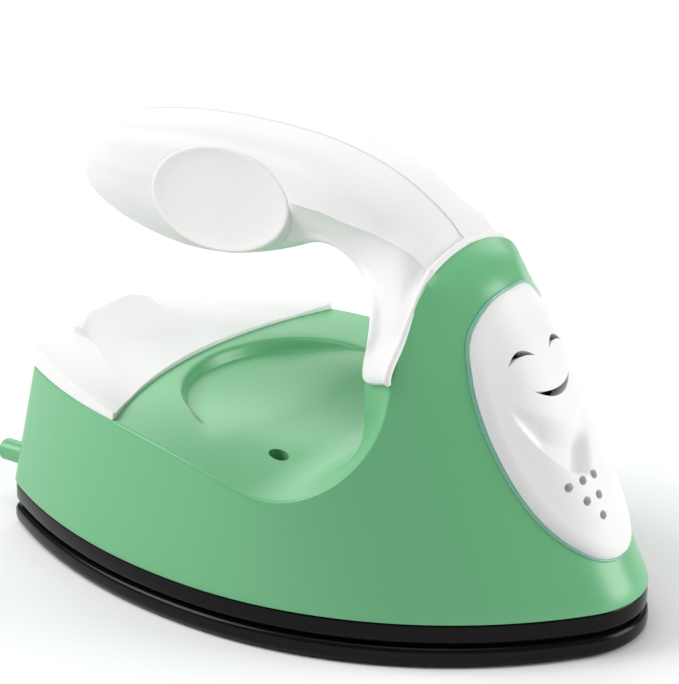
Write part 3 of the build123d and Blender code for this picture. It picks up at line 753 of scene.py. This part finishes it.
# Vents: each crescent's place across, half width, drop, rise and thickness, and rows of holes
CRESCENT_VENTS = ((-5.0, 2.4, 10.4, 1.6, 0.9), (3.6, 2.6, 10.5, 1.6, 0.9), (-0.9, 4.5, 15.1, -2.2, -1.1))
hole_rows = 3
hole_radius = 0.7
hole_drop = 30.3
hole_row_pitch = 3.05
hole_pitch = 2.65
hole_y = -3.2
hole_row_shift = 0.7


def scoop(drop, y):
    """Depth of the scoop at a place of the panel."""
    down = drop - scoop_drop
    part = abs(y) / scoop_half
    if part >= 1:
        return 0.0
    bottom = scoop_bottom_end + scoop_bottom_sag * (1 - part ** 2.3) ** 0.75
    top = scoop_top_end + scoop_top_sag * (1 - part ** 2)
    if not top < down < bottom + scoop_lip:
        return 0.0
    inward = (down - top) / max(bottom - top, 0.5)
    lip = ease((bottom + scoop_lip - down) / scoop_lip_run)
    run_out = ease((y + scoop_out_slant * down - scoop_out_start) / scoop_out_run)
    ends = ease((1 - part) * 2.6) * (1 - run_out)
    return scoop_depth * ease(min(1, inward * 1.7)) * lip * ends


def crescent_tool(centre_y, half, drop, rise, thick):
    """Crescent cutter that arches up, or sags for a negative rise."""
    def outline(share):
        turn = share * 2
        across = lerp(-1, 1, turn) if turn <= 1 else lerp(1, -1, turn - 1)
        bow = 1 - across ** 2
        depth = rise * bow if turn <= 1 else (rise - thick) * bow
        return drop - depth, centre_y + across * half
    return panel_cutter(outline, 32)


def hole_tool(radius, drop, y):
    return panel_cutter(lambda share: arc_point(drop, y, radius, math.tau * share), 24)


def make_panel(material):
    """White oval panel with its scoop and its vents."""
    edge, lift = RIM_STEPS[-1]
    rings = list(BACK_STEPS + RIM_STEPS)
    for step in range(1, face_steps + 1):
        part = step / face_steps
        rings.append((edge * (1 - part), lerp(lift, face_proud, ease(part * face_rise))))

    def place(share, ring_share):
        size, proud = rings[round(ring_share * (len(rings) - 1))]
        drop, y = panel_rim(share)
        drop = lerp(face_middle, drop, size)
        y *= size
        dip = 0.0
        if proud > 0:
            dip = scoop(drop, y)
            proud *= lerp(top_proud_share, 1.0, ease(drop / top_proud_drop))
        return panel_place(drop, y, dome_lift(drop, y) + proud - dip)

    mesh = outward(skin(place, 240, len(rings) - 1))
    piece = finish_piece("face_panel", mesh, material, "white_satin", "front_panel")
    cutters = [crescent_tool(*vent) for vent in CRESCENT_VENTS]
    for row in range(hole_rows):
        count = hole_rows - row
        for index in range(count):
            y = (index - (count - 1) / 2) * hole_pitch + hole_y + row * hole_row_shift
            cutters.append(hole_tool(hole_radius, hole_drop + row * hole_row_pitch, y))
    carve(piece, *cutters)
    sharpen(piece)


def make_trim(material):
    """Thin clear ring round the panel."""
    half = 0.22
    offset = 0.18
    height = 0.1

    def place(share, turn):
        angle = math.tau * turn
        drop, y = panel_rim(share, offset + half * math.cos(angle))
        return panel_place(drop, y, dome_lift(drop, y) + height + half * math.sin(angle))

    finish_piece("trim_ring", outward(skin(place, 200, 10)), material, "trim_clear", "panel_trim_ring")


# Bands that follow the plan: sole, groove and skirt, as inset and height of each ring

def band(profile, around=260):
    """Closed band round the plan; a ring without an inset is a point in the middle."""
    def place(share, ring):
        inset, z = profile[round(ring * (len(profile) - 1))]
        if inset is None:
            return Vector((0, 0, z))
        x, y = plan_point(share, inset)
        return Vector((x, y, z))
    return outward(skin(place, around, len(profile) - 1))


def rounded_edge(inset, z, radius, start, steps=4):
    """Quarter round as inset and height; start is the angle of its first point in degrees."""
    return [(inset + radius * (1 - math.cos(math.radians(start + 90 * step / steps))),
             z + radius * math.sin(math.radians(start + 90 * step / steps))) for step in range(steps + 1)]


SOLE_PROFILE = ([(None, 0.0), (20.0, 0.0), (6.0, 0.0), (2.0, 0.0)]
                + rounded_edge(0.0, 1.3, 1.3, -90) + [(0.0, 1.9)]
                + rounded_edge(0.0, 2.5, 0.9, 0) + [(2.0, 3.4), (6.0, 3.4), (20.0, 3.4), (None, 3.4)])
GROOVE_PROFILE = ((4.6, 3.4), (1.6, 3.4), (1.6, 4.1), (4.6, 4.1), (4.6, 3.4))
SKIRT_PROFILE = ([(5.0, 4.1), (2.0, 4.1)] + rounded_edge(0.2, 4.6, 0.5, -90) + [(0.2, 5.6)]
                 + rounded_edge(0.2, 6.8, 0.5, 0)
                 + [(1.2, 7.3), (2.6, 7.3), (2.6, 5.3), (5.0, 5.3), (5.0, 4.1)])


# Handle: rings of one half from the tail to the arch, each from the top seam to the lower one

# Rings of the grip, as x, half width, top, widest place, bottom and squareness
GRIP_ANGLES = (90.0, 62.0, 38.0, 16.0, 9.0, -10.0, -32.0, -58.0, -90.0)
GRIP = (
    (-50.6, 0.0, 58.6, 58.6, 58.6, 2.0),
    (-50.2, 2.4, 60.9, 58.6, 56.4, 2.0),
    (-49.0, 4.3, 62.4, 58.6, 54.9, 2.1),
    (-46.0, 7.3, 64.7, 58.4, 52.4, 2.2),
    (-40.0, 9.3, 67.3, 58.3, 50.0, 2.3),
    (-33.0, 10.3, 68.8, 58.2, 48.3, 2.3),
    (-26.0, 10.8, 69.7, 58.2, 47.6, 2.3),
    (-19.0, 10.9, 70.1, 58.5, 48.1, 2.3),
    (-13.0, 10.9, 70.1, 59.0, 49.6, 2.3),
    (-8.0, 10.8, 69.9, 59.4, 51.4, 2.3),
)

# Rings of the neck and the hood point by point: the fourth is the widest place of the neck, the
# seventh is the foot, and the last lies inside on the middle plane
NECK = (
    ((-3.0, 0.0, 69.4), (-3.0, 5.6, 68.7), (-3.0, 8.9, 66.9), (-3.0, 10.8, 62.4), (-3.2, 10.3, 60.0),
     (-3.3, 9.4, 57.2), (-3.3, 7.6, 54.7), (-3.3, 0.0, 53.4)),
    ((2.2, 0.0, 68.4), (2.2, 5.6, 67.7), (2.2, 9.0, 66.0), (2.0, 10.9, 62.1), (1.8, 10.0, 60.0),
     (1.6, 9.4, 57.8), (1.6, 8.4, 55.9), (1.6, 0.0, 55.2)),
    ((7.2, 0.0, 66.9), (7.2, 5.5, 66.3), (7.2, 8.9, 64.7), (6.6, 10.8, 61.2), (6.0, 9.9, 59.2),
     (5.6, 9.5, 57.0), (5.4, 8.8, 55.2), (5.4, 0.0, 54.7)),
    ((11.6, 0.0, 65.0), (11.6, 5.3, 64.4), (11.5, 8.6, 62.9), (11.0, 10.6, 60.5), (9.8, 10.0, 58.0),
     (9.0, 10.0, 55.5), (8.8, 9.6, 53.4), (8.8, 0.0, 53.3)),
    ((15.0, 0.0, 63.0), (15.0, 5.0, 62.3), (14.9, 8.0, 60.9), (14.6, 10.3, 59.5), (13.4, 10.7, 56.6),
     (12.3, 11.2, 53.9), (11.6, 11.6, 51.6), (11.8, 0.0, 51.4)),
    ((17.3, 0.0, 61.4), (17.3, 4.8, 60.7), (17.2, 7.8, 59.6), (17.0, 10.1, 58.7), (16.1, 11.6, 55.4),
     (14.9, 13.3, 51.9), (14.0, 14.2, 49.2), (14.4, 0.0, 48.9)),
    ((18.8, 0.0, 60.1), (18.8, 4.6, 59.5), (18.7, 7.6, 58.6), (18.5, 9.8, 57.9), (17.8, 12.2, 54.4),
     (16.7, 15.2, 49.6), (15.5, 16.9, 45.6), (17.0, 0.0, 45.4)),
    ((20.0, 0.0, 58.8), (20.0, 4.4, 58.2), (19.9, 7.3, 57.4), (19.8, 9.6, 56.7), (19.3, 12.8, 53.2),
     (18.6, 16.4, 48.4), (15.9, 18.8, 40.5), (18.2, 0.0, 40.5)),
    ((20.8, 0.0, 58.2), (20.8, 4.3, 57.6), (20.8, 7.2, 56.9), (20.8, 9.5, 56.2), (20.8, 13.0, 53.0),
     (20.8, 16.9, 48.0), (20.8, 20.3, 41.5), (20.8, 0.0, 41.5)),
)


def grip_row(x, half, top, middle, bottom, power):
    """One ring of the grip: a squarish oval, with fuller shoulders where it is squarest."""
    row = []
    for degrees in GRIP_ANGLES:
        angle = math.radians(degrees)
        shoulder = power > 2.2 and 20 < degrees < 90
        square = 2 / (power + 0.5 if shoulder else power)
        across = abs(math.cos(angle)) ** square
        rise = math.copysign(abs(math.sin(angle)) ** square, angle)
        reach = top - middle if angle > 0 else middle - bottom
        row.append((x, half * across, middle + rise * reach))
    return row


def creased(row):
    """The row with one more point close below its widest, so that the skin bends sharply there."""
    widest = Vector(row[3])
    below = Vector(row[4])
    return row[:4] + [tuple(widest.lerp(below, 0.14))] + row[4:]


HANDLE_ROWS = [grip_row(*row) for row in GRIP] + [creased(list(row)) for row in NECK]

# The foot's place in a ring of nine points
FOOT_SHARE = 7 / 8


def handle_point(along, down):
    """Point of one half of the handle's skin, from tail to arch and from the top seam to below."""
    return through([through(row, down) for row in HANDLE_ROWS], along)


# Finger pads: their rings as share of the outline and height over the pad's plane
PAD_RINGS = ((1.0, -3.0), (1.0, 0.2), (0.988, 0.42), (0.965, 0.5), (0.935, 0.46), (0.88, 0.3),
             (0.75, 0.12), (0.5, -0.02), (0.25, -0.08), (0.0, -0.1))
pad_half_length = 13.2
pad_half_height = 8.0
pad_x = -16.8
pad_y = 10.5
pad_z = 59.9
pad_tilt = math.radians(12.0)

# Seat of a pad in the handle's skin: sunk under the pad, up at its edge and free outside it
seat_sunk = -0.9
seat_edge = 0.2
seat_edge_start = 0.84
seat_edge_run = 0.1
seat_free_start = 0.97
seat_free_slope = 6.0

# Seams of the handle: half the gap, how deep the edges turn in and the share that this takes
seam_half_gap = 0.05
seam_depth = 0.7
seam_share = 0.02


def pad_frame(side):
    """Centre of a pad, its outward direction and its upward direction."""
    out = Vector((0, side * math.cos(pad_tilt), math.sin(pad_tilt)))
    upward = Vector((0, -side * math.sin(pad_tilt), math.cos(pad_tilt)))
    return Vector((pad_x, side * pad_y, pad_z)), out, upward


def pad_seat(point, side):
    """The handle's skin pressed in under the pad."""
    centre, out, upward = pad_frame(side)
    gap = point - centre
    size = math.hypot(gap.x / pad_half_length, gap.dot(upward) / pad_half_height)
    allowed = (lerp(seat_sunk, seat_edge, ease((size - seat_edge_start) / seat_edge_run))
               + seat_free_slope * max(0.0, size - seat_free_start))
    return point - out * max(0.0, gap.dot(out) - allowed)


def make_handle_half(name, node, side, material):
    """One half of the handle, whose edges turn in along the seams."""

    def place(down_share, along):
        turned = lerp(-seam_share, 1 + seam_share, down_share)
        x, y, z = handle_point(along, max(0.0, min(1.0, turned)))
        if turned < 0:
            z -= seam_depth
        elif turned > 1:
            z += seam_depth
        return pad_seat(Vector((x, side * max(seam_half_gap, y), z)), side)

    piece = finish_piece(name, outward(skin(place, 72, 130)), material, "white_satin", node)
    sharpen(piece, 32)


def make_bead(material):
    """Rounded white bead along the handle's front arch, from foot to foot."""
    radius = 0.62
    forward = Vector((0.4, 0, 0))
    sunk = 0.3
    end_share = 0.03
    hood_middle_z = 44

    def arch(share):
        x, y, z = handle_point(1.0, abs(share) * FOOT_SHARE)
        return Vector((x, math.copysign(y, share), z))

    def place(along, turn):
        share = lerp(-1.0, 1.0, along)
        middle = arch(share)
        ahead = arch(min(1.0, share + 0.01)) - arch(max(-1.0, share - 0.01))
        side = ahead.cross(Vector((1, 0, 0))).normalized()
        angle = math.tau * turn
        end = max(0.0, abs(share) - (1 - end_share)) / end_share
        size = radius * math.sqrt(max(0.0, 1 - end ** 2))
        inward = (Vector((middle.x, 0, hood_middle_z)) - middle).normalized()
        return (middle + forward + inward * sunk
                + (Vector((1, 0, 0)) * math.cos(angle) - side * math.sin(angle)) * size)

    finish_piece("hood_bead", outward(skin(place, 200, 12)), material, "white_satin", "handle_collar")


def make_pad(name, node, side, material):
    """Dished oval finger pad with a raised rim."""
    centre, out, upward = pad_frame(side)

    def place(share, ring):
        size, lift = PAD_RINGS[round(ring * (len(PAD_RINGS) - 1))]
        angle = math.tau * share
        return (centre + Vector((1, 0, 0)) * (pad_half_length * size * math.cos(angle))
                + upward * (pad_half_height * size * math.sin(angle)) + out * lift)

    finish_piece(name, outward(skin(place, 96, len(PAD_RINGS) - 1)), material, "pad_soft", node)


def welded_copy(node, name, material, slot, round_width):
    """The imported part's own shape, merged and with its edges rounded."""
    mesh = bmesh.new()
    mesh.from_mesh(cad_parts[node].data)
    bmesh.ops.remove_doubles(mesh, verts=mesh.verts, dist=0.01 * MM)
    bmesh.ops.dissolve_limit(mesh, angle_limit=math.radians(1), verts=mesh.verts, edges=mesh.edges)
    bmesh.ops.scale(mesh, vec=(1 / MM, 1 / MM, 1 / MM), verts=mesh.verts)
    soften(finish_piece(name, mesh, material, slot, node), round_width)


# Finishes

green = moulded("green_gloss_plastic", (0.15, 0.47, 0.22), 0.3, cloud=0.015, grain_size=0.9,
                grain_depth=0.001, spread=0.03, Specular_IOR_Level=0.5)
white = moulded("white_satin_plastic", (0.835, 0.835, 0.83), 0.45, grain_size=0.35, grain_depth=0.003,
                Specular_IOR_Level=0.3)
pad_white = moulded("pad_soft_plastic", (0.83, 0.83, 0.82), 0.6, grain_size=0.3, grain_depth=0.006,
                    Specular_IOR_Level=0.3)
deep_black = (0.005, 0.0045, 0.005)
black = moulded("black_gloss_plastic", deep_black, 0.14, grain_size=0.6, grain_depth=0.001,
                Specular_IOR_Level=0.12)
coating = moulded("sole_coating", deep_black, 0.2, grain_size=0.25, grain_depth=0.002,
                  Specular_IOR_Level=0.15)
rubber = moulded("black_rubber", (0.01, 0.01, 0.01), 0.75, grain_size=0.3, grain_depth=0.01)
teal = moulded("clear_teal_trim", (0.20, 0.48, 0.37), 0.12, grain_size=1.2, grain_depth=0.001)
dark = moulded("dark_baffle", (0.045, 0.032, 0.018), 0.7)
steel = moulded("plated_steel", (0.55, 0.55, 0.56), 0.35, Metallic=1.0)

# Pieces

make_housing(green)
make_panel(white)
make_trim(teal)
for side_name, side in SIDES.items():
    make_handle_half("handle_half_" + side_name, "handle_" + side_name, side, white)
    make_pad("finger_pad_" + side_name, "grip_pad_" + side_name, side, pad_white)
make_bead(white)
finish_piece("sole", band(SOLE_PROFILE), coating, "sole_coating", "soleplate")
finish_piece("groove_ring", band(GROOVE_PROFILE), rubber, "gasket_rubber", "sole_gasket")
finish_piece("skirt", band(SKIRT_PROFILE), black, "black_gloss", "base_skirt")
welded_copy("rear_cover", "heel_cover", white, "white_satin", 0.7)
for side_name in SIDES:
    welded_copy("heel_foot_" + side_name, "heel_peg_" + side_name, green, "green_gloss", 0.25)
welded_copy("cord_inlet_bush", "inlet_bush", rubber, "bush_rubber", 0.3)

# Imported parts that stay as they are; those inside are mostly metal
shown_nodes = {"vent_baffle": dark}
for node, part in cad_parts.items():
    if not part.hide_render:
        part.data.materials.clear()
        part.data.materials.append(shown_nodes.get(node, steel))

# Floor, light and camera, in metres

floor_half_side = 6.0
floor_colour = (0.95, 0.95, 0.95, 1)
world_strength = 0.19
light_aim = Vector((0, 0, 0.03))
camera_place = (0.26406, -0.37658, 0.22121)
camera_look = Vector((-0.5356, 0.7581, -0.3722))
camera_lens = 168.1

floor_mesh = bmesh.new()
bmesh.ops.create_grid(floor_mesh, x_segments=1, y_segments=1, size=floor_half_side)
floor_data = bpy.data.meshes.new("floor")
floor_mesh.to_mesh(floor_data)
floor_mesh.free()
floor = bpy.data.objects.new("floor", floor_data)
bpy.context.scene.collection.objects.link(floor)
floor.data.materials.append(Paint("pale_floor", Base_Color=floor_colour, Roughness=0.9).material)

world = bpy.data.worlds.new("studio")
world.use_nodes = True
background = world.node_tree.nodes["Background"]
background.inputs["Color"].default_value = (1, 1, 1, 1)
background.inputs["Strength"].default_value = world_strength
bpy.context.scene.world = world


def soft_box(name, place, size, power):
    """Area light that faces the iron."""
    light = bpy.data.lights.new(name, "AREA")
    light.shape = "RECTANGLE"
    light.size, light.size_y = size
    light.energy = power
    lamp = bpy.data.objects.new(name, light)
    lamp.location = place
    lamp.rotation_euler = (light_aim - Vector(place)).to_track_quat("-Z", "Y").to_euler()
    bpy.context.scene.collection.objects.link(lamp)


soft_box("left_box", (-0.68, -0.46, 0.74), (0.7, 0.6), 9.0)
soft_box("top_box", (0.0, -0.18, 1.0), (0.6, 0.4), 2.4)
soft_box("right_box", (0.72, 0.44, 0.30), (0.5, 0.6), 5.6)
soft_box("back_box", (-0.62, 0.95, 0.55), (1.4, 0.8), 5.0)

camera_data = bpy.data.cameras.new("camera")
camera_data.lens = camera_lens
camera_data.clip_start = 0.01
camera = bpy.data.objects.new("camera", camera_data)
camera.location = camera_place
camera.rotation_euler = camera_look.to_track_quat("-Z", "Y").to_euler()
bpy.context.scene.collection.objects.link(camera)
bpy.context.scene.camera = camera
bpy.context.scene.view_settings.view_transform = "Standard"
